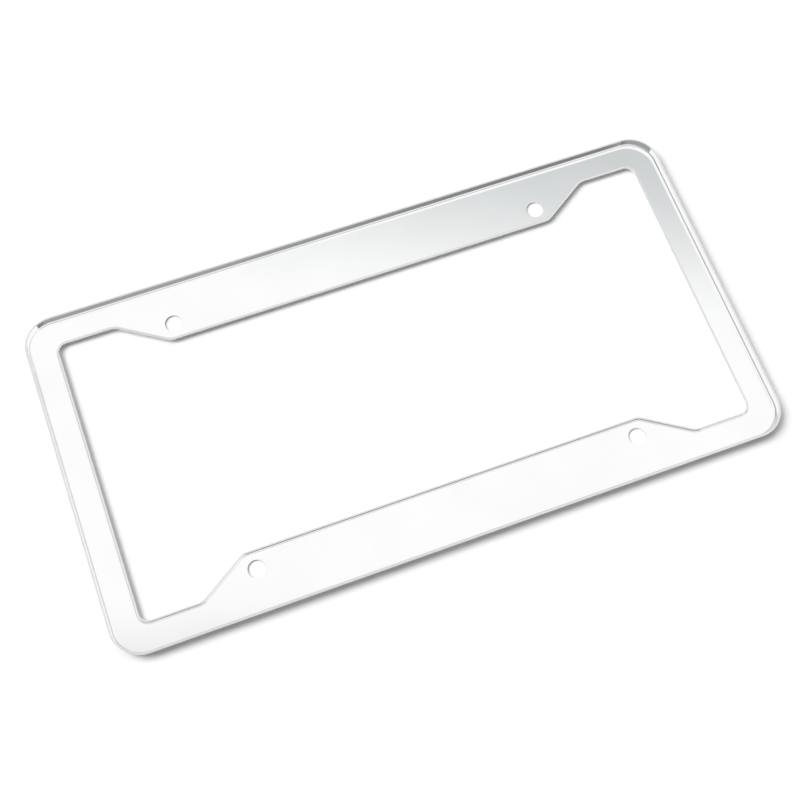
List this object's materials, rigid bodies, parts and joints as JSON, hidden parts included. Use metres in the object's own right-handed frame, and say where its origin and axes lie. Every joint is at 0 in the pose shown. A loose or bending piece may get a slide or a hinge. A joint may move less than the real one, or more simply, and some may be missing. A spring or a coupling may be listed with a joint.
{
  "type": "number plate frame",
  "caption": "Polished sheet-metal surround for a number plate: flat face round an open window, steep raised outer rim, lower raised lip round the window and bolt holes near its corners.",
  "frame": {"origin": "middle of the outline, on the flat back of the face", "axes": "+X along the length, to the right as the plate is read; +Y towards the plate's top edge; +Z out of the front face. The part lies on its flat back."},
  "size_m": [0.31, 0.16, 0.005],
  "materials": {
    "polished_steel": "mirror-polished steel sheet"
  },
  "bodies": {
    "root": {"plate_frame": "polished_steel"}
  },
  "joints": []
}
